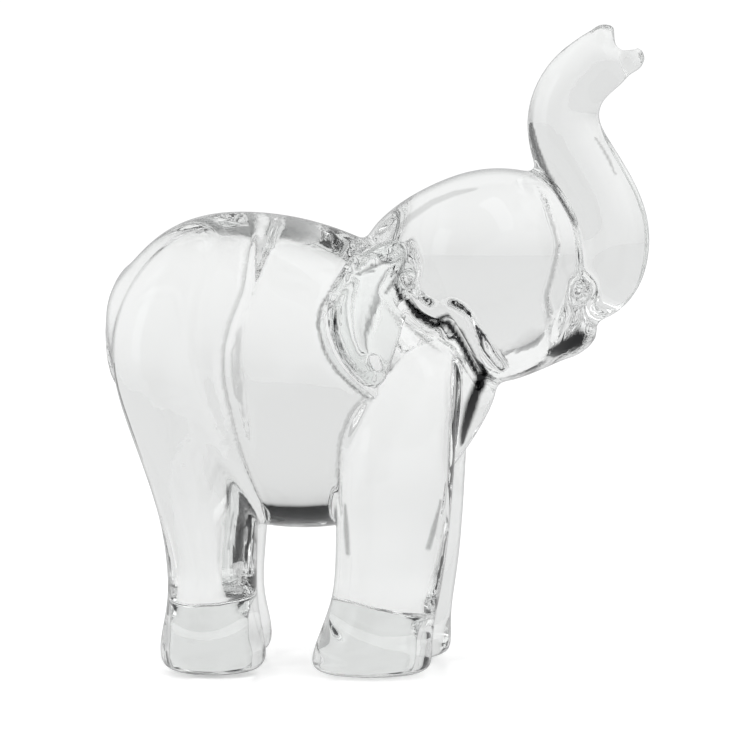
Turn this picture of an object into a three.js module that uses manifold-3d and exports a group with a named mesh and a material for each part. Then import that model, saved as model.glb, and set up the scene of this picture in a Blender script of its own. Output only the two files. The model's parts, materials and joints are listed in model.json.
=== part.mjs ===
// Clear crystal elephant with its trunk raised: gathers of hot glass, drawn out one by one and fused
// into a single solid figure that is ground flat under its four feet.
// Millimetres. +X is the way the elephant faces, +Y is its left side and +Z is up. The origin is on the
// ground, under the middle of the figure's length.
import * as THREE from "three";
import { mergeVertices } from "three/addons/utils/BufferGeometryUtils.js";
import Module from "manifold-3d";

const wasm = await Module();
wasm.setup();

// Driving dimensions.
const SEAM = 0.3; // gap kept between two fused gathers
const AROUND = 16; // facets round a drawn gather
const HEIGHT = 160.8; // sole to the highest lip of the trunk
const LENGTH = 138; // tail to the front of the trunk
const GROUND = 0; // height of the ground soles
const STANCE = 17; // middle of a foot from the middle plane
const FOOT_HALF_WIDTH = 13;
const BELLY_Z = 34; // lowest point of the belly
const BACK_Z = 114.4; // highest point of the back
const HIP_Z = 60; // height from which the left feet are drawn out
const TRUNK_RADIUS = 9.8; // at its thickest, a third of the way up
const TIP_RADIUS = 7.4;
const HEAD_TILT = Math.PI / 6; // how far the face looks down from level
const EYE_RADIUS = 2.7;
const REAR_STRIDE = -3.4; // how much further forward the left hind foot is set than the right one
const FRONT_STRIDE = 2; // and the same for the fore feet
const RIGHT = -1;
const LEFT = 1;

// Rows of facets along a gather of so many stations.
const rowsFor = (stations) => 2 + Math.max(8, (stations.length - 1) * 2);

// A closed solid made from a three.js geometry.
function solidOf(geometry) {
  const bare = new THREE.BufferGeometry();
  bare.setAttribute("position", geometry.getAttribute("position"));
  bare.setIndex(geometry.index);
  const merged = mergeVertices(bare, 1e-4);
  return new wasm.Manifold(
    new wasm.Mesh({
      numProp: 3,
      vertProperties: new Float32Array(merged.attributes.position.array),
      triVerts: new Uint32Array(merged.index.array),
    }),
  );
}

// A gather drawn out along a line. A station is [x, y, z, half depth, half width]: the half width lies
// along the across direction, and the half depth at right angles to it and to the way the gather runs.
// runs is that way where the gather is nearly straight, and without it the gather follows its line.
// grow makes it larger all over, for cutting a seat in its neighbour.
function drawn(stations, { grow = 0, runs = null, across = [0, 1, 0], around = AROUND } = {}) {
  const line = new THREE.CatmullRomCurve3(stations.map(([x, y, z]) => new THREE.Vector3(x, y, z)));
  const sizes = new THREE.CatmullRomCurve3(stations.map(([, , , d, w]) => new THREE.Vector3(d, w, 0)));
  const rows = rowsFor(stations);
  const geometry = new THREE.SphereGeometry(1, around, rows);
  const place = geometry.getAttribute("position");
  const sideways = new THREE.Vector3(...across);
  for (let i = 0; i < place.count; i += 1) {
    const row = Math.floor(i / (around + 1));
    const atPole = row === 0 || row === rows;
    const t = THREE.MathUtils.clamp((row - 1) / (rows - 2), 0, 1);
    const along = runs ? new THREE.Vector3(...runs).normalize() : line.getTangent(t);
    const width = sideways.clone().addScaledVector(along, -sideways.dot(along)).normalize();
    const depth = along.clone().cross(width);
    const turn = (2 * Math.PI * (i % (around + 1))) / around;
    const size = sizes.getPoint(t);
    const point = line.getPoint(t);
    if (atPole) point.addScaledVector(along, row === 0 ? -grow : grow);
    else {
      point.addScaledVector(width, -Math.cos(turn) * (size.y + grow));
      point.addScaledVector(depth, Math.sin(turn) * (size.x + grow));
    }
    place.setXYZ(i, point.x, point.y, point.z);
  }
  return solidOf(geometry);
}

function ball(x, y, z, radius, squash = [1, 1, 1]) {
  const geometry = new THREE.SphereGeometry(radius, 16, 12);
  geometry.scale(...squash);
  geometry.translate(x, y, z);
  return solidOf(geometry);
}

// The same stations on the given side of the middle plane.
const onSide = (side, stations) => stations.map(([x, y, ...rest]) => [x, side * y, ...rest]);

// A leg on the given side, its foot set forward by the stride if it is a left one.
const legOn = (side, stride, stations) =>
  onSide(side, stations).map(([x, y, z, ...rest]) => {
    const lead = side === LEFT ? stride * THREE.MathUtils.clamp(1 - z / HIP_Z, 0, 1) : 0;
    return [x + lead, y, z, ...rest];
  });

// Everything under the ground plane, which cuts the soles flat.
function belowGround() {
  const geometry = new THREE.BoxGeometry(2 * LENGTH, 2 * LENGTH, HEIGHT);
  geometry.translate(0, 0, GROUND - HEIGHT / 2);
  return solidOf(geometry);
}

// Barrel of the body, from the rump to the chest, in upright sections.
function torso(grow) {
  const middle = (BACK_Z + BELLY_Z) / 2;
  const half = (BACK_Z - BELLY_Z) / 2;
  return drawn(
    [
      [-68, 0, 87, 4, 5],
      [-66, 0, 85.5, 11, 12],
      [-62, 0, 83.5, 17.5, 18],
      [-55, 0, 81, 27.5, 23],
      [-46, 0, 78, 35, 27],
      [-35, 0, middle + 1, half - 0.8, 29],
      [-20, 0, middle - 0.6, half - 0.5, 30],
      [-6, 0, 72, 37, 28.5],
      [8, 0, 71, 31, 25],
      [18, 0, 71, 24, 20],
      [26, 0, 71.5, 13, 12],
      [31, 0, 71.5, 3.5, 4],
    ],
    { grow, runs: [1, 0, 0] },
  );
}

// Hind leg, from the hip on top of the back down to the foot, in level sections.
function rearLeg(side, grow) {
  const stations = legOn(side, REAR_STRIDE, [
    [-42, 10.5, 110, 3.5, 4],
    [-44.5, 13, 103, 11, 9],
    [-48.2, 15, 90, 15.3, 12],
    [-50, 16, 74, 15, 13],
    [-44.4, 16.5, 56, 13.7, 13],
    [-40.2, STANCE, 38.8, 12.2, 12.5],
    [-39.2, STANCE, 22.8, 10.8, 11.5],
    [-39, STANCE, 11, 12.5, FOOT_HALF_WIDTH - 0.5],
    [-38.6, STANCE, 4.5, 13.6, FOOT_HALF_WIDTH],
    [-38.6, STANCE, GROUND - 1, 12.4, FOOT_HALF_WIDTH - 1],
  ]);
  return drawn(stations, { grow, runs: [0, 0, -1] });
}

// Fore leg, from the shoulder down to the foot, in level sections.
function frontLeg(side, grow) {
  const stations = legOn(side, FRONT_STRIDE, [
    [12, 13, 84, 5, 5],
    [10.5, 15, 77, 13, 10.5],
    [8, 16.5, 64, 14.2, 12.5],
    [6.4, STANCE, 48, 14.6, 13],
    [6, STANCE, 32.8, 14, 12.6],
    [4.6, STANCE, 20.8, 13.2, 12.2],
    [2, STANCE, 10, 14, FOOT_HALF_WIDTH],
    [1, STANCE, 4, 15.2, FOOT_HALF_WIDTH + 0.2],
    [0.6, STANCE, GROUND - 1, 15, FOOT_HALF_WIDTH - 0.6],
  ]);
  return drawn(stations, { grow, runs: [0, 0, -1] });
}

// Skull and cheeks, from the nape down to the chin, in sections square to the way the face looks.
function head(grow) {
  return drawn(
    [
      [2.8, 0, 113, 3, 6],
      [6.2, 0, 113, 7.8, 13],
      [11.5, 0, 110.2, 15, 20],
      [18.4, 0, 108, 20, 25],
      [26.4, 0, 104, 24, 27.5],
      [35.4, 0, 97.6, 26, 25.5],
      [41.7, 0, 88.5, 21.5, 20],
      [47.7, 0, 84.8, 12, 13],
      [52.3, 0, 81.4, 3.6, 5],
    ],
    { grow, runs: [Math.cos(HEAD_TILT), 0, -Math.sin(HEAD_TILT)] },
  );
}

// S-shaped trunk, from the upper lip to its flared end, without the scoop between the two lips.
function wholeTrunk(grow) {
  return drawn(
    [
      [49.5, 0, 88.5, 3.5, 6],
      [54, 0, 92.5, 7.6, 9],
      [58.2, 0, 100, TRUNK_RADIUS, TRUNK_RADIUS],
      [59.2, 0, 110.5, TRUNK_RADIUS, TRUNK_RADIUS - 0.2],
      [53.8, 0, 120.5, TRUNK_RADIUS, TRUNK_RADIUS - 0.6],
      [47.8, 0, 130.6, 9.4, 8.9],
      [46.4, 0, 139.4, 8.8, 8.3],
      [50.4, 0, 147.4, 7.9, 7.9],
      [56.2, 0, 151.2, TIP_RADIUS, TIP_RADIUS],
      [61, 0, HEIGHT - 5, TIP_RADIUS, TIP_RADIUS],
    ],
    { grow },
  );
}

// The trunk with the scoop that parts its end into an upper and a lower lip.
function trunk(grow) {
  const solid = wholeTrunk(grow);
  return grow ? solid : solid.subtract(ball(63, 0, 157.4, 4.2, [1, 2.4, 1]));
}

function lowerJaw(grow) {
  return drawn(
    [
      [40, 0, 78.5, 2.5, 5],
      [44.5, 0, 79.5, 4.8, 9],
      [49, 0, 81.1, 4.8, 8.6],
      [53, 0, 83, 3.4, 6.4],
      [54.8, 0, 84.2, 1.6, 3.2],
    ],
    { grow },
  );
}

// Ear: a thick leaf of glass hung behind the cheek, its rear rim swung out from the neck.
function ear(side, grow) {
  const stations = onSide(side, [
    [7, 22, 108, 3, 1.6],
    [4.5, 25.5, 103, 9, 3],
    [2.2, 29, 95.5, 11.5, 3.6],
    [0.8, 31, 86.5, 10.5, 3.6],
    [1, 31.2, 77.5, 6.8, 3],
    [3, 30.4, 70.5, 2.8, 1.6],
  ]);
  return drawn(stations, { grow, runs: [0, 0, -1], across: [0.4, side * 0.92, 0] });
}

function eye(side, grow) {
  return ball(51.8, side * 10.6, 94.8, EYE_RADIUS + grow);
}

// Tail: a thin trail of glass laid down the middle of the rump.
function tail(grow) {
  return drawn(
    [
      [-61, 0, 101, 1.6, 1.8],
      [-64.6, 0, 96.5, 2, 2.2],
      [-67.1, 0, 88, 2, 2.2],
      [-66.8, 0, 79, 2.2, 2.4],
      [-64.8, 0, 72, 2.8, 3],
      [-63, 0, 68, 1.4, 1.6],
    ],
    { grow, around: 12 },
  );
}

const crystal = { color: 0xf2f5f4, roughness: 0.02, metalness: 0, transparent: true, opacity: 0.35 };
const eyeGlass = { ...crystal, color: 0xdfe4e3, opacity: 0.6 };

// The gathers in the order in which they win a shared space: each one is cut back from those before it.
const gathers = [
  ["eye_right", (grow) => eye(RIGHT, grow), eyeGlass],
  ["eye_left", (grow) => eye(LEFT, grow), eyeGlass],
  ["ear_right", (grow) => ear(RIGHT, grow), crystal],
  ["ear_left", (grow) => ear(LEFT, grow), crystal],
  ["trunk", trunk, crystal],
  ["lower_jaw", lowerJaw, crystal],
  ["head", head, crystal],
  ["tail", tail, crystal],
  ["rear_leg_right", (grow) => rearLeg(RIGHT, grow), crystal],
  ["rear_leg_left", (grow) => rearLeg(LEFT, grow), crystal],
  ["front_leg_right", (grow) => frontLeg(RIGHT, grow), crystal],
  ["front_leg_left", (grow) => frontLeg(LEFT, grow), crystal],
  ["torso", torso, crystal],
];

function meshOf(name, solid, finish) {
  const { vertProperties, triVerts } = solid.getMesh();
  const geometry = new THREE.BufferGeometry();
  geometry.setAttribute("position", new THREE.BufferAttribute(vertProperties, 3));
  geometry.setIndex(new THREE.BufferAttribute(triVerts, 1));
  geometry.computeVertexNormals();
  const mesh = new THREE.Mesh(geometry, new THREE.MeshStandardMaterial(finish));
  mesh.name = name;
  return mesh;
}

// What a cut leaves of a gather: its largest body.
function largestBody(solid) {
  return solid.decompose().reduce((best, body) => (body.volume() > best.volume() ? body : best));
}

const elephant = new THREE.Group();
elephant.name = "crystal_elephant";
let taken = belowGround();
for (const [name, shape, finish] of gathers) {
  elephant.add(meshOf(name, largestBody(shape(0).subtract(taken)), finish));
  taken = taken.add(shape(SEAM));
}

export default elephant;
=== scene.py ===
"""A clear crystal elephant: gathers of hot glass drawn out, pressed together and fused."""

import json
import math

import bmesh
import bpy
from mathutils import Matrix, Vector
from mathutils.kdtree import KDTree

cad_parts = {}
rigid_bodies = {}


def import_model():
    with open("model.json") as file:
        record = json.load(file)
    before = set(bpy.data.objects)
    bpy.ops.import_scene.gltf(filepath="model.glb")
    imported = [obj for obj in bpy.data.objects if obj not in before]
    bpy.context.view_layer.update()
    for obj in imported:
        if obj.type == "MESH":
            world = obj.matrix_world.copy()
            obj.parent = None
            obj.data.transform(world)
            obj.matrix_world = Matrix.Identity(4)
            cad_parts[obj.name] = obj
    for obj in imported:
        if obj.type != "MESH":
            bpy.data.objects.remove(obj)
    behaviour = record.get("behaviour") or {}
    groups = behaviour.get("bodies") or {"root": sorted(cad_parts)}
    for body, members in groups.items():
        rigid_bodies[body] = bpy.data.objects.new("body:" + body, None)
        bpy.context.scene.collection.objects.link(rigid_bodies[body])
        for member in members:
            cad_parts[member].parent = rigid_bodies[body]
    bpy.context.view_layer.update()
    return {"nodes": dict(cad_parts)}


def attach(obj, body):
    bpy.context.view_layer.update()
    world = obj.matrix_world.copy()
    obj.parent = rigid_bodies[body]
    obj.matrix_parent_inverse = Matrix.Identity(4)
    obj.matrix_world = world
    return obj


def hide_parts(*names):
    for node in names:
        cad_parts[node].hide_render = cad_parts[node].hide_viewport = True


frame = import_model()
CAD_NODES = tuple(frame["nodes"])

bl_info = {
    "name": "Crystal Elephant",
    "version": (1, 0, 0),
    "blender": (4, 5, 0),
    "location": "3D View > Sidebar > Crystal Elephant",
    "description": "Draws out the gathers of a clear crystal elephant and fuses them",
    "category": "Add Mesh",
}

BODY = "root"
# Which way along Y each flank looks.
SIDES = {"right": -1, "left": 1}
# How far from the middle plane the feet stand.
STANCE = 0.017
# The height below which the left legs lean, and how far in front of the right feet theirs end up.
HIP_HEIGHT = 0.060
REAR_STRIDE = -0.0034
FRONT_STRIDE = 0.002
# How far the sections of the head are tipped beyond upright.
HEAD_TILT = math.radians(30)
# How many times a gather is subdivided, which rounds it.
ROUNDING = 3
# A subdivided ring of this many corners ends up smaller by this factor.
RING_SHRINK = {16: 0.9747, 12: 0.955}
# Further out than any flank, where the search for the skin starts.
OUTSIDE = 0.08
COARSE = 1.3
# The order in which the gathers claim their share of the fused glass. The torso keeps the rest.
CLAIMS = (
    "eye_right",
    "eye_left",
    "ear_right",
    "ear_left",
    "trunk",
    "lower_jaw",
    "head",
    "tail",
    "rear_leg_right",
    "rear_leg_left",
    "front_leg_right",
    "front_leg_left",
)


# ---------------------------------------------------------------- settings


class GlassSettings(bpy.types.PropertyGroup):
    """Sizes and finish of the glass."""

    ior: bpy.props.FloatProperty(
        name="Index of refraction",
        description="How strongly the crystal bends light",
        default=1.52,
        min=1.3,
        max=1.8,
    )
    tint: bpy.props.FloatVectorProperty(
        name="Glass tint",
        description="Colour that the clear glass gives to light going through it",
        default=(0.965, 0.975, 0.97),
        size=3,
        subtype="COLOR",
        min=0.0,
        max=1.0,
    )
    ripple: bpy.props.FloatProperty(
        name="Ripple height",
        description="Height of the slow waves that the tools leave in the surface",
        default=0.00035,
        unit="LENGTH",
        min=0.0,
    )
    grain: bpy.props.FloatProperty(
        name="Fusing grain",
        description="Size of the cells in which the gathers are melted together",
        default=0.0007,
        unit="LENGTH",
        min=0.0003,
    )
    softening: bpy.props.IntProperty(
        name="Softening",
        description="How many times the fused surface is evened out, as by the flame",
        default=12,
        min=0,
    )
    eye_radius: bpy.props.FloatProperty(
        name="Eye radius",
        description="Radius of the drops of glass that make the eyes",
        default=0.0027,
        unit="LENGTH",
        min=0.0005,
    )


class StageSettings(bpy.types.PropertyGroup):
    """Floor, light and camera."""

    azimuth: bpy.props.FloatProperty(
        name="Azimuth",
        description="How far the camera stands round to the figure's front",
        default=math.radians(6),
        subtype="ANGLE",
    )
    elevation: bpy.props.FloatProperty(
        name="Elevation",
        description="How far the camera looks down",
        default=math.radians(3),
        subtype="ANGLE",
    )
    distance: bpy.props.FloatProperty(
        name="Distance",
        description="Distance from the camera to the middle of the view",
        default=0.9,
        unit="LENGTH",
    )
    lens: bpy.props.FloatProperty(
        name="Focal length",
        description="Focal length of the lens in millimetres",
        default=171.8,
        min=20.0,
    )
    floor_colour: bpy.props.FloatVectorProperty(
        name="Floor colour",
        description="Colour of the plain pale floor",
        default=(0.86, 0.86, 0.86),
        size=3,
        subtype="COLOR",
        min=0.0,
        max=1.0,
    )


# ------------------------------------------------------------ working steps


def deselect():
    """Leaves edit mode and selects nothing."""
    if bpy.context.object is not None and bpy.context.object.mode != "OBJECT":
        bpy.ops.object.mode_set(mode="OBJECT")
    bpy.ops.object.select_all(action="DESELECT")


def pick(*objects):
    """Selects these objects alone, with the first one active."""
    deselect()
    for one in objects:
        one.select_set(True)
    bpy.context.view_layer.objects.active = objects[0]


def apply_modifier(obj, kind, **settings):
    """Adds a modifier with these settings and applies it."""
    pick(obj)
    modifier = obj.modifiers.new(kind.title(), kind)
    for key, value in settings.items():
        setattr(modifier, key, value)
    bpy.ops.object.modifier_apply(modifier=modifier.name)
    if obj.modifiers:
        raise RuntimeError("%s could not be applied to %s" % (kind, obj.name))


def freeze(obj):
    """Moves the object's place into its mesh."""
    pick(obj)
    bpy.ops.object.transform_apply(location=True, rotation=True, scale=True)


def select_rings(obj, first, last, around):
    """Selects the edges of the rings from first to last, in edit mode."""
    mesh = bmesh.from_edit_mesh(obj.data)
    mesh.verts.ensure_lookup_table()
    bpy.ops.mesh.select_all(action="DESELECT")
    for edge in mesh.edges:
        rings = {vert.index // around for vert in edge.verts}
        if len(rings) == 1 and first <= rings.pop() <= last:
            edge.select_set(True)
    bmesh.update_edit_mesh(obj.data)


def put_in_place(place, size, lean=0.0, turn=0.0):
    """Presses, tips, turns and moves what is selected, which lies round the origin."""
    middle = (0, 0, 0)
    bpy.ops.transform.resize(value=size, center_override=middle)
    bpy.ops.transform.rotate(value=-lean, orient_axis="Y", center_override=middle)
    bpy.ops.transform.rotate(value=-turn, orient_axis="Z", center_override=middle)
    bpy.ops.transform.translate(value=place)


def draw_out(name, stations, lean=None, turn=0.0, around=16):
    """Draws a gather of glass out through its stations and closes both ends.

    A station is x, y, z and the half depth and half width there. The sections lean over by the
    given angle from level, or stand square to the line when there is none.
    """
    deselect()
    for number, (x, y, z, depth, width) in enumerate(stations):
        before = stations[max(number - 1, 0)]
        after = stations[min(number + 1, len(stations) - 1)]
        tip = math.atan2(after[0] - before[0], after[2] - before[2]) if lean is None else lean
        bpy.ops.mesh.primitive_circle_add(vertices=around, radius=1 / RING_SHRINK[around])
        if number == 0:
            gather = bpy.context.object
            gather.name = name
            bpy.ops.object.mode_set(mode="EDIT")
            bpy.ops.mesh.select_mode(type="EDGE")
            bpy.ops.mesh.select_all(action="SELECT")
        put_in_place((x, y, z), (depth, width, 1), tip, turn)
        if number == 0:
            continue
        select_rings(gather, number - 1, number, around)
        bpy.ops.mesh.bridge_edge_loops()
    for end in (0, len(stations) - 1):
        select_rings(gather, end, end, around)
        bpy.ops.mesh.edge_face_add()
    bpy.ops.mesh.select_all(action="SELECT")
    bpy.ops.mesh.normals_make_consistent(inside=False)
    bpy.ops.object.mode_set(mode="OBJECT")
    apply_modifier(gather, "SUBSURF", levels=ROUNDING, render_levels=ROUNDING)
    return gather


def on_side(side, stations):
    """The same stations on the given side of the middle plane."""
    return [(x, side * y, *rest) for x, y, *rest in stations]


def leg_stations(side, stride, stations):
    """Stations of a leg, with a left one's foot set forward by the stride."""
    made = []
    for x, y, z, depth, width in stations:
        lead = stride * min(max(1 - z / HIP_HEIGHT, 0), 1) if side > 0 else 0
        made.append((x + lead, side * y, z, depth, width))
    return made


def drop(name, place, radius, squash=(1, 1, 1)):
    """A drop of glass: a ball, pressed as it is put on."""
    deselect()
    bpy.ops.mesh.primitive_uv_sphere_add(segments=32, ring_count=20, radius=radius)
    ball = bpy.context.object
    ball.name = name
    bpy.ops.object.mode_set(mode="EDIT")
    bpy.ops.mesh.select_all(action="SELECT")
    put_in_place(place, squash)
    bpy.ops.object.mode_set(mode="OBJECT")
    return ball


def surface_point(glass, x, z, side):
    """Where the flank on the given side is met at this length and height, and the way out."""
    start, inwards = Vector((x, side * OUTSIDE, z)), Vector((0, -side, 0))
    found, place, normal, _ = glass.ray_cast(start, inwards)
    if not found:
        raise RuntimeError("no glass at length %.4f, height %.4f" % (x, z))
    return place, normal


def trail(glass, name, side, points, proud):
    """A thin trail of glass, or the path of a blade, that follows the flank.

    A point is the length, the height and the radius there. The middle stands proud of the skin by
    the given distance.
    """
    stations = []
    for x, z, radius in points:
        place, normal = surface_point(glass, x, z, side)
        stations.append((*(place + normal * proud), radius))
    return sweep(name, stations)


def sweep(name, stations):
    """A round bar through these stations, made from a tapered path.

    A station is x, y, z and the radius there.
    """
    deselect()
    path = bpy.data.curves.new(name, "CURVE")
    path.dimensions = "3D"
    path.bevel_depth = 1.0
    path.bevel_resolution = 3
    path.use_fill_caps = True
    path.resolution_u = 5
    spline = path.splines.new("BEZIER")
    spline.bezier_points.add(len(stations) - 1)
    for point, (x, y, z, radius) in zip(spline.bezier_points, stations):
        point.co = (x, y, z)
        point.radius = radius
        point.handle_left_type = point.handle_right_type = "AUTO"
    bar = bpy.data.objects.new(name, path)
    bpy.context.collection.objects.link(bar)
    pick(bar)
    bpy.ops.object.convert(target="MESH")
    bar = bpy.context.object
    bpy.ops.object.mode_set(mode="EDIT")
    bpy.ops.mesh.select_all(action="SELECT")
    bpy.ops.mesh.remove_doubles(threshold=0.00001)
    bpy.ops.mesh.normals_make_consistent(inside=False)
    bpy.ops.object.mode_set(mode="OBJECT")
    return bar


def gathers_of(piece):
    """The gathers already drawn for a piece, and the bits put on it."""
    return [obj for obj in bpy.data.objects if obj.get("gather_of") == piece]


def belongs(obj, piece):
    """Notes which piece a gather or a bit of glass belongs to."""
    obj["gather_of"] = piece
    return obj


def copy_of(obj):
    """A copy with its own mesh, which belongs to no piece."""
    copy = obj.copy()
    copy.data = obj.data.copy()
    copy["gather_of"] = ""
    bpy.context.collection.objects.link(copy)
    return copy


def joined(name, objects):
    """One object made of copies of these."""
    pick(*[copy_of(obj) for obj in objects])
    bpy.ops.object.join()
    whole = bpy.context.object
    whole.name = name
    return whole


# ---------------------------------------------------------------- materials

# What the crystal reflects is held back to this colour.
REFLECTION_TINT = (0.55, 0.56, 0.58, 1)
# Painted rim shade: where the surface turns away between these two shares, the glass colour is
# painted dark to this colour, in place of the dark outlines that refraction gives at the edges.
RIM_SHADE_START, RIM_SHADE_END = 0.66, 0.94
PAINTED_RIM_SHADE = (0.05, 0.055, 0.06, 1)
# How fine the slow ripple and the uneven polish are, and how rough the polish gets at most.
RIPPLE_SCALE, POLISH_SCALE = 55.0, 180.0
ROUGHEST = 0.02
# What the camera sees of the floor is lifted by this much, which makes it as pale as the room.
FLOOR_LIFT = 0.3


def fresh_material(name):
    """A material with an empty node tree."""
    old = bpy.data.materials.get(name)
    if old is not None:
        bpy.data.materials.remove(old)
    material = bpy.data.materials.new(name)
    material.use_nodes = True
    material.node_tree.nodes.clear()
    return material


def crystal_material(name="clear crystal"):
    """Clear crystal, with the slow ripple of a hand-formed surface, painted rim shade at its edges
    and the painted shade of the marks.
    """
    settings = bpy.context.scene.elephant_glass
    material = fresh_material(name)
    nodes, links = material.node_tree.nodes, material.node_tree.links
    out = nodes.new("ShaderNodeOutputMaterial")
    glass = nodes.new("ShaderNodeBsdfPrincipled")
    glass.inputs["IOR"].default_value = settings.ior
    glass.inputs["Transmission Weight"].default_value = 1.0
    glass.inputs["Specular Tint"].default_value = REFLECTION_TINT
    links.new(glass.outputs["BSDF"], out.inputs["Surface"])

    # Painted rim shade: the glass colour darkens towards the grazing edges, in place of the dark
    # outlines that refraction gives.
    edge = nodes.new("ShaderNodeLayerWeight")
    edge.inputs["Blend"].default_value = 0.5
    rim = nodes.new("ShaderNodeMapRange")
    rim.interpolation_type = "SMOOTHSTEP"
    rim.inputs["From Min"].default_value = RIM_SHADE_START
    rim.inputs["From Max"].default_value = RIM_SHADE_END
    links.new(edge.outputs["Facing"], rim.inputs["Value"])
    tint_with_rim_shade = nodes.new("ShaderNodeMix")
    tint_with_rim_shade.data_type = "RGBA"
    tint_with_rim_shade.inputs[6].default_value = (*settings.tint, 1)
    tint_with_rim_shade.inputs[7].default_value = PAINTED_RIM_SHADE
    links.new(rim.outputs["Result"], tint_with_rim_shade.inputs[0])
    # Painted shade and painted dark reflections of the marks, multiplied into the glass colour.
    mark = nodes.new("ShaderNodeAttribute")
    mark.attribute_name = "mark"
    with_painted_shade = nodes.new("ShaderNodeMix")
    with_painted_shade.data_type = "RGBA"
    with_painted_shade.blend_type = "MULTIPLY"
    with_painted_shade.inputs[0].default_value = 1.0
    links.new(tint_with_rim_shade.outputs[2], with_painted_shade.inputs[6])
    links.new(mark.outputs["Color"], with_painted_shade.inputs[7])
    links.new(with_painted_shade.outputs[2], glass.inputs["Base Color"])

    place = nodes.new("ShaderNodeTexCoord")
    slow = nodes.new("ShaderNodeTexNoise")
    slow.inputs["Scale"].default_value = RIPPLE_SCALE
    slow.inputs["Detail"].default_value = 0.5
    slow.inputs["Distortion"].default_value = 0.6
    links.new(place.outputs["Object"], slow.inputs["Vector"])
    bump = nodes.new("ShaderNodeBump")
    bump.inputs["Strength"].default_value = 1.0
    bump.inputs["Distance"].default_value = settings.ripple
    links.new(slow.outputs["Fac"], bump.inputs["Height"])
    links.new(bump.outputs["Normal"], glass.inputs["Normal"])

    fine = nodes.new("ShaderNodeTexNoise")
    fine.inputs["Scale"].default_value = POLISH_SCALE
    fine.inputs["Detail"].default_value = 2.0
    links.new(place.outputs["Object"], fine.inputs["Vector"])
    polish = nodes.new("ShaderNodeMapRange")
    polish.inputs["From Min"].default_value = 0.35
    polish.inputs["From Max"].default_value = 0.75
    polish.inputs["To Min"].default_value = 0.0
    polish.inputs["To Max"].default_value = ROUGHEST
    links.new(fine.outputs["Fac"], polish.inputs["Value"])
    links.new(polish.outputs["Result"], glass.inputs["Roughness"])
    return material


def seam_material():
    """The fused seam inside the glass, which can't be seen."""
    material = fresh_material("fused seam")
    nodes, links = material.node_tree.nodes, material.node_tree.links
    out = nodes.new("ShaderNodeOutputMaterial")
    glass = nodes.new("ShaderNodeBsdfPrincipled")
    glass.inputs["Alpha"].default_value = 0.0
    links.new(glass.outputs["BSDF"], out.inputs["Surface"])
    return material


def floor_material():
    """Plain pale floor with a faint sheen."""
    material = fresh_material("pale floor")
    nodes, links = material.node_tree.nodes, material.node_tree.links
    colour = bpy.context.scene.elephant_stage.floor_colour
    out = nodes.new("ShaderNodeOutputMaterial")
    paint = nodes.new("ShaderNodeBsdfPrincipled")
    paint.inputs["Base Color"].default_value = (*colour, 1)
    paint.inputs["Roughness"].default_value = 0.3
    paint.inputs["Emission Color"].default_value = (1, 1, 1, 1)
    path = nodes.new("ShaderNodeLightPath")
    lift = nodes.new("ShaderNodeMath")
    lift.operation = "MULTIPLY"
    lift.inputs[1].default_value = FLOOR_LIFT
    links.new(path.outputs["Is Camera Ray"], lift.inputs[0])
    links.new(lift.outputs["Value"], paint.inputs["Emission Strength"])
    links.new(paint.outputs["BSDF"], out.inputs["Surface"])
    return material


# ---------------------------------------------------------------- operators


class ELEPHANT_OT_torso(bpy.types.Operator):
    """Draw the barrel of the body from the rump to the chest"""

    bl_idname = "elephant.torso"
    bl_label = "Torso"

    def execute(self, context):
        torso = draw_out(
            "torso_gather",
            [
                (-0.0680, 0, 0.0870, 0.0040, 0.0050),
                (-0.0660, 0, 0.0855, 0.0110, 0.0120),
                (-0.0620, 0, 0.0835, 0.0175, 0.0180),
                (-0.0550, 0, 0.0810, 0.0275, 0.0230),
                (-0.0460, 0, 0.0780, 0.0350, 0.0270),
                (-0.0350, 0, 0.0752, 0.0394, 0.0290),
                (-0.0200, 0, 0.0736, 0.0397, 0.0300),
                (-0.0060, 0, 0.0720, 0.0370, 0.0285),
                (0.0080, 0, 0.0710, 0.0310, 0.0250),
                (0.0180, 0, 0.0710, 0.0240, 0.0200),
                (0.0260, 0, 0.0715, 0.0130, 0.0120),
                (0.0310, 0, 0.0715, 0.0035, 0.0040),
            ],
            lean=math.radians(90),
        )
        belongs(torso, "torso")
        return {"FINISHED"}


class ELEPHANT_OT_rear_legs(bpy.types.Operator):
    """Draw the two hind legs from the hip on the back down to the foot"""

    bl_idname = "elephant.rear_legs"
    bl_label = "Rear legs"

    def execute(self, context):
        for word, side in SIDES.items():
            stations = leg_stations(
                side,
                REAR_STRIDE,
                [
                    (-0.0420, 0.0105, 0.1100, 0.0035, 0.0040),
                    (-0.0445, 0.0130, 0.1030, 0.0110, 0.0090),
                    (-0.0482, 0.0150, 0.0900, 0.0153, 0.0120),
                    (-0.0500, 0.0160, 0.0740, 0.0150, 0.0130),
                    (-0.0444, 0.0152, 0.0560, 0.0139, 0.0144),
                    (-0.0402, 0.0144, 0.0400, 0.0124, 0.0152),
                    (-0.0394, 0.0144, 0.0300, 0.0114, 0.0150),
                    (-0.0392, 0.0141, 0.0210, 0.0109, 0.0148),
                    (-0.0391, 0.0148, 0.0150, 0.0115, 0.0144),
                    (-0.0389, 0.0170, 0.0095, 0.0128, 0.0126),
                    (-0.0386, STANCE, 0.0045, 0.0136, 0.0130),
                    (-0.0386, STANCE, -0.0010, 0.0124, 0.0120),
                ],
            )
            leg = draw_out("rear_leg_%s_gather" % word, stations, lean=0.0)
            belongs(leg, "rear_leg_%s" % word)
        return {"FINISHED"}


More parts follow.
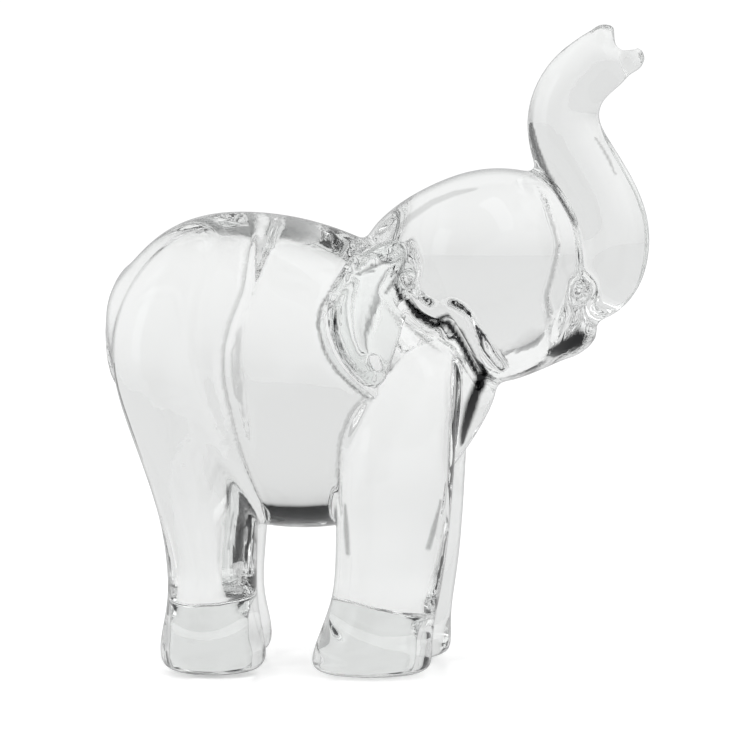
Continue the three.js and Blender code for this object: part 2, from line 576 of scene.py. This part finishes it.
class ELEPHANT_OT_front_legs(bpy.types.Operator):
    """Draw the two fore legs from the shoulder down to the foot"""

    bl_idname = "elephant.front_legs"
    bl_label = "Front legs"

    def execute(self, context):
        for word, side in SIDES.items():
            stations = leg_stations(
                side,
                FRONT_STRIDE,
                [
                    (0.0120, 0.0130, 0.0840, 0.0050, 0.0050),
                    (0.0105, 0.0150, 0.0770, 0.0130, 0.0105),
                    (0.0080, 0.0165, 0.0640, 0.0142, 0.0125),
                    (0.0064, 0.0152, 0.0480, 0.0148, 0.0150),
                    (0.0061, 0.0146, 0.0390, 0.0143, 0.0152),
                    (0.0056, 0.0146, 0.0290, 0.0138, 0.0152),
                    (0.0046, 0.0143, 0.0200, 0.0133, 0.0150),
                    (0.0032, 0.0150, 0.0145, 0.0136, 0.0146),
                    (0.0018, 0.0171, 0.0090, 0.0142, 0.0129),
                    (0.0010, STANCE, 0.0040, 0.0152, 0.0132),
                    (0.0006, STANCE, -0.0010, 0.0150, 0.0124),
                ],
            )
            leg = draw_out("front_leg_%s_gather" % word, stations, lean=0.0)
            belongs(leg, "front_leg_%s" % word)
        return {"FINISHED"}


class ELEPHANT_OT_head(bpy.types.Operator):
    """Draw the skull from the nape down to the chin"""

    bl_idname = "elephant.head"
    bl_label = "Head"

    def execute(self, context):
        skull = draw_out(
            "head_gather",
            [
                (-0.0015, 0, 0.1085, 0.0026, 0.0060),
                (0.0035, 0, 0.1112, 0.0070, 0.0120),
                (0.0115, 0, 0.1102, 0.0150, 0.0200),
                (0.0184, 0, 0.1080, 0.0200, 0.0262),
                (0.0264, 0, 0.1040, 0.0240, 0.0298),
                (0.0354, 0, 0.0976, 0.0260, 0.0270),
                (0.0417, 0, 0.0885, 0.0215, 0.0200),
                (0.0477, 0, 0.0848, 0.0120, 0.0130),
                (0.0523, 0, 0.0814, 0.0036, 0.0050),
            ],
            lean=math.radians(90) + HEAD_TILT,
        )
        belongs(skull, "head")
        return {"FINISHED"}


class ELEPHANT_OT_trunk(bpy.types.Operator):
    """Draw the raised trunk and nip its end into two lips"""

    bl_idname = "elephant.trunk"
    bl_label = "Trunk"

    def execute(self, context):
        trunk = draw_out(
            "trunk_gather",
            [
                (0.0495, 0, 0.0885, 0.0035, 0.0060),
                (0.0545, 0, 0.0925, 0.0080, 0.0092),
                (0.0586, 0, 0.1000, 0.0103, 0.0102),
                (0.0595, 0, 0.1105, 0.0103, 0.0100),
                (0.0540, 0, 0.1205, 0.0103, 0.0097),
                (0.0478, 0, 0.1306, 0.0099, 0.0094),
                (0.0464, 0, 0.1394, 0.0093, 0.0088),
                (0.0504, 0, 0.1474, 0.0084, 0.0084),
                (0.0562, 0, 0.1512, 0.0079, 0.0079),
                (0.0600, 0, 0.1548, 0.0078, 0.0078),
            ],
        )
        for lip, place in {"lower": (0.0638, 0, 0.1522), "upper": (0.0574, 0, 0.1572)}.items():
            bit = drop("trunk_%s_lip" % lip, place, 0.0037, squash=(1, 1.8, 1))
            belongs(bit, "trunk")
        belongs(trunk, "trunk")
        return {"FINISHED"}


class ELEPHANT_OT_lower_jaw(bpy.types.Operator):
    """Put on the small bit of glass under the root of the trunk"""

    bl_idname = "elephant.lower_jaw"
    bl_label = "Lower jaw"

    def execute(self, context):
        jaw = draw_out(
            "lower_jaw_gather",
            [
                (0.0400, 0, 0.0800, 0.0025, 0.0050),
                (0.0445, 0, 0.0812, 0.0050, 0.0094),
                (0.0490, 0, 0.0827, 0.0052, 0.0090),
                (0.0532, 0, 0.0846, 0.0040, 0.0068),
                (0.0553, 0, 0.0862, 0.0018, 0.0034),
            ],
        )
        belongs(jaw, "lower_jaw")
        return {"FINISHED"}


class ELEPHANT_OT_ears(bpy.types.Operator):
    """Press on the flat ears behind the cheeks"""

    bl_idname = "elephant.ears"
    bl_label = "Ears"

    def execute(self, context):
        for word, side in SIDES.items():
            stations = on_side(
                side,
                [
                    (0.0070, 0.0220, 0.1080, 0.0030, 0.0016),
                    (0.0045, 0.0255, 0.1030, 0.0090, 0.0030),
                    (0.0022, 0.0290, 0.0955, 0.0115, 0.0036),
                    (0.0008, 0.0310, 0.0865, 0.0105, 0.0036),
                    (0.0010, 0.0312, 0.0775, 0.0068, 0.0030),
                    (0.0030, 0.0304, 0.0705, 0.0028, 0.0016),
                ],
            )
            leaf = draw_out(
                "ear_%s_gather" % word, stations, lean=0.0, turn=-side * math.radians(23.5)
            )
            belongs(leaf, "ear_%s" % word)
        return {"FINISHED"}


class ELEPHANT_OT_eyes(bpy.types.Operator):
    """Put on the two drops of glass that make the eyes"""

    bl_idname = "elephant.eyes"
    bl_label = "Eyes"

    def execute(self, context):
        radius = context.scene.elephant_glass.eye_radius
        for word, side in SIDES.items():
            eye = drop("eye_%s_gather" % word, (0.0518, side * 0.0106, 0.0948), radius)
            belongs(eye, "eye_%s" % word)
        return {"FINISHED"}


class ELEPHANT_OT_tail(bpy.types.Operator):
    """Lay a thin trail of glass down the rump as the tail"""

    bl_idname = "elephant.tail"
    bl_label = "Tail"

    def execute(self, context):
        tail = draw_out(
            "tail_gather",
            [
                (-0.0610, 0, 0.1010, 0.0016, 0.0018),
                (-0.0646, 0, 0.0965, 0.0020, 0.0022),
                (-0.0671, 0, 0.0880, 0.0020, 0.0022),
                (-0.0668, 0, 0.0790, 0.0022, 0.0024),
                (-0.0648, 0, 0.0720, 0.0028, 0.0030),
                (-0.0630, 0, 0.0680, 0.0014, 0.0016),
            ],
            around=12,
        )
        belongs(tail, "tail")
        return {"FINISHED"}


class ELEPHANT_OT_fuse(bpy.types.Operator):
    """Melt the gathers into one blank"""

    bl_idname = "elephant.fuse"
    bl_label = "Fuse the gathers"

    def execute(self, context):
        settings = context.scene.elephant_glass
        gathers = [one for piece in (*CLAIMS, "torso") for one in gathers_of(piece)]
        glass = joined("fused_glass", gathers)
        apply_modifier(glass, "REMESH", mode="VOXEL", voxel_size=settings.grain * COARSE)
        apply_modifier(glass, "SMOOTH", factor=0.5, iterations=settings.softening)
        return {"FINISHED"}


class ELEPHANT_OT_tool_marks(bpy.types.Operator):
    """Press the creases into the hot blank, lay the rims and rolls on it, and paint shade along
    the creases and glints
    """

    bl_idname = "elephant.tool_marks"
    bl_label = "Creases and rims"

    # How proud of the skin the middle of the blade is held, and how much of its width gets painted
    # shade.
    blade_height = 0.0003
    painted_shade_share = 0.55
    # Painted shade: points from one station of a mark to the next, how deep they lie as a share of
    # the radius, how far they are looked for, and the shares of the radius at which the painted
    # shade starts to fade and over which it does.
    points_between = 8
    depth = 0.2
    search_reach = 0.005
    fade_start, fade_length = 0.55, 0.65
    # The scoop taken out between the two lips of the trunk.
    scoop_place = (0.0632, 0, 0.1574)
    scoop_radius = 0.0038
    scoop_shape = (1, 2.6, 1)
    # Creases: length, height and the blade's radius at points along each.
    hip = (
        (-0.0290, 0.1090, 0.0007),
        (-0.0296, 0.1030, 0.0013),
        (-0.0302, 0.0952, 0.0015),
        (-0.0330, 0.0870, 0.0015),
        (-0.0345, 0.0800, 0.0015),
        (-0.0344, 0.0730, 0.0015),
        (-0.0330, 0.0660, 0.0015),
        (-0.0308, 0.0560, 0.0014),
        (-0.0284, 0.0480, 0.0012),
        (-0.0260, 0.0400, 0.0007),
    )
    shoulder = (
        (0.0010, 0.0700, 0.0008),
        (-0.0030, 0.0655, 0.0013),
        (-0.0058, 0.0590, 0.0014),
        (-0.0068, 0.0510, 0.0014),
        (-0.0066, 0.0440, 0.0012),
        (-0.0060, 0.0390, 0.0008),
    )
    under_cheek = (
        (0.0080, 0.0965, 0.0010),
        (0.0092, 0.0930, 0.0019),
        (0.0120, 0.0886, 0.0023),
        (0.0162, 0.0862, 0.0023),
        (0.0200, 0.0868, 0.0023),
        (0.0226, 0.0826, 0.0023),
        (0.0250, 0.0770, 0.0022),
        (0.0276, 0.0715, 0.0018),
    )
    ear_root = (
        (0.0114, 0.1050, 0.0008),
        (0.0085, 0.0990, 0.0014),
        (0.0055, 0.0940, 0.0010),
    )
    ear_top = (
        (-0.0010, 0.0990, 0.0008),
        (0.0030, 0.1010, 0.0012),
        (0.0075, 0.1030, 0.0008),
    )
    ear_hollow = (
        (0.0060, 0.0910, 0.0008),
        (0.0100, 0.0865, 0.0013),
        (0.0145, 0.0825, 0.0010),
        (0.0185, 0.0795, 0.0006),
    )
    trunk_root = (
        (0.0418, 0.1200, 0.0007),
        (0.0450, 0.1125, 0.0013),
        (0.0468, 0.1060, 0.0013),
        (0.0456, 0.0995, 0.0013),
        (0.0440, 0.0935, 0.0013),
        (0.0446, 0.0880, 0.0009),
    )
    # Painted glints: dark inner reflections along the edges of the glass, painted into its colour
    # with no shape of their own, given in the same way.
    throat = (
        (0.0283, 0.0745, 0.0010),
        (0.0268, 0.0710, 0.0024),
        (0.0252, 0.0660, 0.0032),
        (0.0236, 0.0605, 0.0026),
        (0.0226, 0.0560, 0.0010),
    )
    jaw_glint = (
        (0.0448, 0.0800, 0.0010),
        (0.0470, 0.0806, 0.0026),
        (0.0496, 0.0816, 0.0036),
        (0.0514, 0.0828, 0.0032),
    )
    trunk_back = (
        (0.0396, 0.1365, 0.0003),
        (0.0412, 0.1300, 0.0008),
        (0.0436, 0.1235, 0.0010),
        (0.0462, 0.1185, 0.0010),
        (0.0490, 0.1138, 0.0010),
        (0.0514, 0.1095, 0.0003),
    )
    trunk_bend = (
        (0.0552, 0.1326, 0.0003),
        (0.0572, 0.1298, 0.0006),
        (0.0590, 0.1266, 0.0006),
        (0.0606, 0.1230, 0.0003),
    )
    cheek_edge = (
        (0.0086, 0.0955, 0.0005),
        (0.0102, 0.0918, 0.0010),
        (0.0136, 0.0888, 0.0014),
        (0.0170, 0.0876, 0.0012),
        (0.0206, 0.0890, 0.0008),
        (0.0236, 0.0850, 0.0010),
        (0.0262, 0.0795, 0.0011),
        (0.0284, 0.0745, 0.0010),
        (0.0304, 0.0722, 0.0005),
    )
    crown = (
        (0.0060, 0.1085, 0.0010),
        (0.0105, 0.1128, 0.0016),
        (0.0160, 0.1165, 0.0018),
        (0.0215, 0.1187, 0.0016),
        (0.0270, 0.1198, 0.0008),
    )
    knee = (
        (-0.0048, 0.0420, 0.0008),
        (-0.0045, 0.0360, 0.0014),
        (-0.0040, 0.0300, 0.0010),
    )
    shin = (
        (-0.0306, 0.0365, 0.0010),
        (-0.0312, 0.0325, 0.0018),
        (-0.0318, 0.0285, 0.0012),
    )
    # The creases on both sides of the ear's rim.
    behind_ear = (
        (-0.0032, 0.1060, 0.0007),
        (-0.0054, 0.1005, 0.0010),
        (-0.0082, 0.0955, 0.0011),
        (-0.0108, 0.0908, 0.0011),
        (-0.0113, 0.0865, 0.0011),
        (-0.0095, 0.0800, 0.0011),
        (-0.0062, 0.0750, 0.0011),
        (-0.0022, 0.0712, 0.0010),
        (0.0020, 0.0680, 0.0007),
    )
    inside_ear = (
        (-0.0036, 0.0965, 0.0006),
        (-0.0060, 0.0912, 0.0009),
        (-0.0062, 0.0860, 0.0010),
        (-0.0045, 0.0812, 0.0010),
        (-0.0014, 0.0768, 0.0009),
        (0.0020, 0.0735, 0.0006),
    )
    # Trails of glass: length, height and radius.
    ear_rim = (
        (-0.0016, 0.1050, 0.0008),
        (-0.0036, 0.1005, 0.0011),
        (-0.0060, 0.0957, 0.0012),
        (-0.0084, 0.0908, 0.0013),
        (-0.0090, 0.0864, 0.0013),
        (-0.0073, 0.0806, 0.0013),
        (-0.0042, 0.0757, 0.0012),
        (-0.0006, 0.0720, 0.0011),
        (0.0024, 0.0695, 0.0008),
    )
    cheek_roll = (
        (0.0100, 0.0975, 0.0012),
        (0.0122, 0.0945, 0.0022),
        (0.0150, 0.0917, 0.0026),
        (0.0182, 0.0904, 0.0026),
        (0.0222, 0.0908, 0.0026),
        (0.0258, 0.0856, 0.0027),
        (0.0286, 0.0800, 0.0026),
        (0.0308, 0.0770, 0.0022),
        (0.0325, 0.0750, 0.0014),
    )

    # Each mark with how dark it paints the glass colour: painted shade along the creases, painted
    # dark reflections for the glints.
    creases = (
        (hip, 0.4),
        (shoulder, 0.5),
        (under_cheek, 1.0),
        (behind_ear, 0.8),
        (inside_ear, 0.55),
        (ear_root, 0.8),
        (ear_top, 0.8),
        (ear_hollow, 0.5),
        (trunk_root, 0.55),
    )
    painted_glints = (
        (throat, 1.0),
        (jaw_glint, 1.0),
        (trunk_back, 0.9),
        (trunk_bend, 0.6),
        (crown, 0.4),
        (knee, 0.7),
        (shin, 0.7),
        (cheek_edge, 1.0),
    )

    def execute(self, context):
        settings = context.scene.elephant_glass
        glass = bpy.data.objects["fused_glass"]
        creases = [
            trail(glass, "crease", side, points, self.blade_height)
            for side in SIDES.values()
            for points, _ in self.creases
        ]
        trails = []
        for word, side in SIDES.items():
            rim = trail(glass, "ear_%s_rim" % word, side, self.ear_rim, 0.0)
            roll = trail(glass, "cheek_%s_roll" % word, side, self.cheek_roll, 0.0)
            trails += [belongs(rim, "ear_%s" % word), belongs(roll, "head")]
        creases.append(drop("scoop", self.scoop_place, self.scoop_radius, self.scoop_shape))
        for crease in creases:
            apply_modifier(
                glass, "BOOLEAN", operation="DIFFERENCE", solver="MANIFOLD", object=crease
            )
            bpy.data.objects.remove(crease)
        pick(glass, *[copy_of(one) for one in trails])
        bpy.ops.object.join()
        grain = settings.grain * 1
        apply_modifier(glass, "REMESH", mode="VOXEL", voxel_size=grain)
        apply_modifier(glass, "SMOOTH", factor=0.5, iterations=settings.softening // 2)
        self.grind_soles(glass)
        # Paints shade along the creases and dark reflections along the glints into the skin's
        # colour.
        lines = []
        for side in SIDES.values():
            for points, darkness in self.creases:
                lines += self.painted_shade_line(glass, side, points, darkness, self.painted_shade_share)
            for points, darkness in self.painted_glints:
                lines += self.painted_shade_line(glass, side, points, darkness, 1.0)
        self.shade_marks(glass, lines)
        pick(glass)
        bpy.ops.object.shade_smooth_by_angle(angle=math.radians(60))
        glass.data.materials.clear()
        glass.data.materials.append(crystal_material())
        return {"FINISHED"}

    def painted_shade_line(self, glass, side, points, darkness, share):
        """Points along a mark on the flank, each with its reach and how dark it paints the glass,
        as painted shade.
        """
        line = []
        for (x0, z0, r0), (x1, z1, r1) in zip(points, points[1:]):
            for step in range(self.points_between):
                t = step / self.points_between
                x, z, radius = x0 + (x1 - x0) * t, z0 + (z1 - z0) * t, r0 + (r1 - r0) * t
                place, normal = surface_point(glass, x, z, side)
                place = place - normal * self.depth * radius * share
                line.append((place, radius * share, darkness))
        return line

    def shade_marks(self, glass, lines):
        """Stores on each point of the skin the painted shade of the marks near it: how much they
        darken the glass colour.
        """
        tree = KDTree(len(lines))
        for number, (place, _, _) in enumerate(lines):
            tree.insert(place, number)
        tree.balance()
        shade = glass.data.color_attributes.new("mark", "FLOAT_COLOR", "POINT")
        values = []
        for vertex in glass.data.vertices:
            left = 1.0
            for _, number, distance in tree.find_range(vertex.co, self.search_reach):
                _, reach, darkness = lines[number]
                t = (distance / reach - self.fade_start) / self.fade_length
                t = min(max(t, 0.0), 1.0)
                left = min(left, 1 - darkness * (1 - t * t * (3 - 2 * t)))
            values += (left, left, left, 1.0)
        shade.data.foreach_set("color", values)

    def grind_soles(self, glass):
        """Takes away what hangs below the ground."""
        deselect()
        bpy.ops.mesh.primitive_cube_add(size=0.4, location=(0, 0, -0.2))
        wheel = bpy.context.object
        freeze(wheel)
        apply_modifier(glass, "BOOLEAN", operation="DIFFERENCE", solver="MANIFOLD", object=wheel)
        bpy.data.objects.remove(wheel)


class ELEPHANT_OT_part(bpy.types.Operator):
    """Give each gather its own share of the fused glass"""

    bl_idname = "elephant.part"
    bl_label = "Part the gathers"

    # How far a gather swells before it takes its share, and the grain it is melted with.
    swell, cut_grain = 0.0016, 0.0011
    eye_swell, eye_cut_grain = 0.0008, 0.0006

    def execute(self, context):
        skin = bpy.data.objects["fused_glass"]
        seam = seam_material()
        eye_glass = crystal_material("eye glass")
        rest = copy_of(skin)
        shares = {"torso": rest}
        for piece in CLAIMS:
            cutter = self.cutter_for(piece, seam)
            share = copy_of(rest)
            for glass, operation in ((share, "INTERSECT"), (rest, "DIFFERENCE")):
                apply_modifier(
                    glass,
                    "BOOLEAN",
                    operation=operation,
                    solver="MANIFOLD",
                    object=cutter,
                    material_mode="TRANSFER",
                )
            shares[piece] = share
            bpy.data.objects.remove(cutter)
        for gather in [obj for obj in bpy.data.objects if obj.get("gather_of")]:
            bpy.data.objects.remove(gather)
        for piece, share in shares.items():
            self.finish(piece, share, skin, eye_glass)
        bpy.data.objects.remove(skin)
        return {"FINISHED"}

    def leave_whole(self, skin):
        for gather in [obj for obj in bpy.data.objects if obj.get("gather_of")]:
            bpy.data.objects.remove(gather)
        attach(skin, BODY)
        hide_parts(*CAD_NODES)

    def cutter_for(self, piece, seam):
        """The gather swollen a little, so that it takes the glass melted into its creases too."""
        swell, grain = self.swell, self.cut_grain
        if piece.startswith("eye"):
            swell, grain = self.eye_swell, self.eye_cut_grain
        cutter = joined("cutter", gathers_of(piece))
        apply_modifier(cutter, "DISPLACE", strength=swell, mid_level=0.0)
        apply_modifier(cutter, "REMESH", mode="VOXEL", voxel_size=grain)
        apply_modifier(cutter, "SMOOTH", factor=0.5, iterations=4)
        cutter.data.materials.clear()
        cutter.data.materials.append(seam)
        return cutter

    def drop_crumbs(self, share):
        """Deletes the loose slivers that a cut can leave.

        The piece itself is the body that reaches furthest from the origin.
        """
        pick(share)
        bpy.ops.object.mode_set(mode="EDIT")
        bpy.ops.mesh.select_mode(type="VERT")
        bpy.ops.mesh.select_all(action="DESELECT")
        mesh = bmesh.from_edit_mesh(share.data)
        furthest = max(mesh.verts, key=lambda vert: vert.co.length)
        furthest.select_set(True)
        bmesh.update_edit_mesh(share.data)
        bpy.ops.mesh.select_linked()
        bpy.ops.mesh.select_all(action="INVERT")
        bpy.ops.mesh.delete(type="VERT")
        bpy.ops.object.mode_set(mode="OBJECT")

    def finish(self, piece, share, skin, eye_glass):
        """Names the piece, takes over the skin's shading and stands it in for its CAD node."""
        share.name = "glass_%s" % piece
        share.data.name = share.name
        if piece.startswith("eye"):
            share.data.materials[0] = eye_glass
        self.drop_crumbs(share)
        bpy.ops.object.shade_smooth()
        # Takes over the skin's normals and its painted shade.
        apply_modifier(
            share,
            "DATA_TRANSFER",
            object=skin,
            use_loop_data=True,
            data_types_loops={"CUSTOM_NORMAL"},
            loop_mapping="POLYINTERP_NEAREST",
            use_vert_data=True,
            data_types_verts={"COLOR_VERTEX"},
            vert_mapping="POLYINTERP_NEAREST",
        )
        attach(share, BODY)
        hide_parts(piece)


class ELEPHANT_OT_stage(bpy.types.Operator):
    """Lay the pale floor and set the light and the camera"""

    bl_idname = "elephant.stage"
    bl_label = "Stage"

    # The floor lies a hair below the ground soles, so that the two never touch.
    floor_place = (0, 2.0, -0.0005)
    floor_side = 8.0
    # Dark walls: compass and height they stand at, their reach and soft edge, all in degrees, and
    # how much light they take away.
    walls = (
        (262, 52, 34, 12, 0.99),
        (240, 6, 18, 10, 0.98),
        (22, 10, 20, 10, 0.9),
        (90, 90, 26, 14, 0.8),
    )
    # How bright the room is to the glass, and to the camera and the floor.
    room_in_glass = 0.78
    room_seen = 1.06
    # Name, place, size and watts of each light, and the height they are aimed at.
    lights = (
        ("overhead softbox", (0.25, -0.25, 0.75), (0.25, 0.9), 0.9),
        ("side softbox", (-0.9, -0.5, 0.5), (0.35, 0.7), 0.7),
    )
    aim_height = 0.08
    # The middle of the view.
    target = (0, 0, 0.073)

    def execute(self, context):
        settings = context.scene.elephant_stage
        deselect()
        bpy.ops.mesh.primitive_plane_add(size=self.floor_side, location=self.floor_place)
        floor = bpy.context.object
        floor.name = "floor"
        freeze(floor)
        floor.data.materials.append(floor_material())
        self.light_the_studio(context)
        self.set_camera(context, settings)
        scene = context.scene
        scene.view_settings.view_transform = "Standard"
        scene.cycles.use_denoising = True
        scene.cycles.max_bounces = 24
        scene.cycles.transmission_bounces = 24
        scene.cycles.glossy_bounces = 12
        scene.cycles.transparent_max_bounces = 64
        scene.cycles.caustics_refractive = True
        scene.cycles.caustics_reflective = True
        scene.cycles.blur_glossy = 0.1
        return {"FINISHED"}

    def light_the_studio(self, context):
        """A bright room with a few dark walls, and two soft lights."""
        world = bpy.data.worlds.new("studio")
        context.scene.world = world
        world.use_nodes = True
        nodes, links = world.node_tree.nodes, world.node_tree.links
        nodes.clear()
        out = nodes.new("ShaderNodeOutputWorld")
        light = nodes.new("ShaderNodeBackground")
        way = nodes.new("ShaderNodeTexCoord")
        brightness = None
        for compass, height, reach, edge, darkness in self.walls:
            a, e = math.radians(compass), math.radians(height)
            axis = (math.cos(a) * math.cos(e), math.sin(a) * math.cos(e), math.sin(e))
            near = nodes.new("ShaderNodeVectorMath")
            near.operation = "DOT_PRODUCT"
            near.inputs[1].default_value = axis
            links.new(way.outputs["Generated"], near.inputs[0])
            fade = nodes.new("ShaderNodeMapRange")
            fade.interpolation_type = "SMOOTHSTEP"
            fade.inputs["From Min"].default_value = math.cos(math.radians(reach + edge))
            fade.inputs["From Max"].default_value = math.cos(math.radians(reach))
            fade.inputs["To Min"].default_value = 1.0
            fade.inputs["To Max"].default_value = 1.0 - darkness
            links.new(near.outputs["Value"], fade.inputs["Value"])
            if brightness is None:
                brightness = fade.outputs["Result"]
                continue
            both = nodes.new("ShaderNodeMath")
            both.operation = "MULTIPLY"
            links.new(brightness, both.inputs[0])
            links.new(fade.outputs["Result"], both.inputs[1])
            brightness = both.outputs["Value"]
        level = nodes.new("ShaderNodeMath")
        level.operation = "MULTIPLY"
        level.inputs[1].default_value = self.room_in_glass
        links.new(brightness, level.inputs[0])
        links.new(level.outputs["Value"], light.inputs["Strength"])
        plain = nodes.new("ShaderNodeBackground")
        plain.inputs["Strength"].default_value = self.room_seen
        for lit in (light, plain):
            lit.inputs["Color"].default_value = (1, 1, 1, 1)
        path = nodes.new("ShaderNodeLightPath")
        direct = nodes.new("ShaderNodeMath")
        direct.operation = "MAXIMUM"
        links.new(path.outputs["Is Camera Ray"], direct.inputs[0])
        links.new(path.outputs["Is Diffuse Ray"], direct.inputs[1])
        seen = nodes.new("ShaderNodeMixShader")
        links.new(direct.outputs["Value"], seen.inputs["Fac"])
        links.new(light.outputs["Background"], seen.inputs[1])
        links.new(plain.outputs["Background"], seen.inputs[2])
        links.new(seen.outputs["Shader"], out.inputs["Surface"])
        for name, place, size, power in self.lights:
            bpy.ops.object.light_add(type="AREA", location=place)
            lamp = bpy.context.object
            lamp.name = name
            lamp.data.shape = "RECTANGLE"
            lamp.data.size, lamp.data.size_y = size
            lamp.data.energy = power
            lamp.rotation_mode = "QUATERNION"
            aim = Vector((0, 0, self.aim_height)) - Vector(place)
            lamp.rotation_quaternion = aim.to_track_quat("-Z", "Y")

    def set_camera(self, context, settings):
        """A long lens that looks a little down on the figure's right flank."""
        a, e = settings.azimuth, settings.elevation
        back = Vector((math.sin(a) * math.cos(e), -math.cos(a) * math.cos(e), math.sin(e)))
        bpy.ops.object.camera_add(location=Vector(self.target) + back * settings.distance)
        camera = bpy.context.object
        camera.name = "camera"
        camera.rotation_mode = "QUATERNION"
        camera.rotation_quaternion = (-back).to_track_quat("-Z", "Y")
        camera.data.sensor_width = 36.0
        camera.data.lens = settings.lens
        camera.data.clip_start = 0.01
        camera.data.clip_end = 50.0
        context.scene.camera = camera


class ELEPHANT_PT_sidebar(bpy.types.Panel):
    """Lists the settings and the steps"""

    bl_idname = "ELEPHANT_PT_sidebar"
    bl_label = "Crystal Elephant"
    bl_space_type = "VIEW_3D"
    bl_region_type = "UI"
    bl_category = "Crystal Elephant"

    def draw(self, context):
        layout = self.layout
        for group in (context.scene.elephant_glass, context.scene.elephant_stage):
            column = layout.column()
            for key in group.__annotations__:
                column.prop(group, key)
        for step in STEPS:
            layout.operator(step.bl_idname)


STEPS = (
    ELEPHANT_OT_torso,
    ELEPHANT_OT_rear_legs,
    ELEPHANT_OT_front_legs,
    ELEPHANT_OT_head,
    ELEPHANT_OT_trunk,
    ELEPHANT_OT_lower_jaw,
    ELEPHANT_OT_ears,
    ELEPHANT_OT_eyes,
    ELEPHANT_OT_tail,
    ELEPHANT_OT_fuse,
    ELEPHANT_OT_tool_marks,
    ELEPHANT_OT_part,
    ELEPHANT_OT_stage,
)
CLASSES = (GlassSettings, StageSettings, *STEPS, ELEPHANT_PT_sidebar)


def register():
    for one in CLASSES:
        bpy.utils.register_class(one)
    bpy.types.Scene.elephant_glass = bpy.props.PointerProperty(type=GlassSettings)
    bpy.types.Scene.elephant_stage = bpy.props.PointerProperty(type=StageSettings)


def unregister():
    del bpy.types.Scene.elephant_stage
    del bpy.types.Scene.elephant_glass
    for one in reversed(CLASSES):
        bpy.utils.unregister_class(one)


def main():
    """Builds the figure and its stage."""
    register()
    bpy.ops.elephant.torso()
    bpy.ops.elephant.rear_legs()
    bpy.ops.elephant.front_legs()
    bpy.ops.elephant.head()
    bpy.ops.elephant.trunk()
    bpy.ops.elephant.lower_jaw()
    bpy.ops.elephant.ears()
    bpy.ops.elephant.eyes()
    bpy.ops.elephant.tail()
    bpy.ops.elephant.fuse()
    bpy.ops.elephant.tool_marks()
    bpy.ops.elephant.part()
    bpy.ops.elephant.stage()


if __name__ == "__main__":
    main()
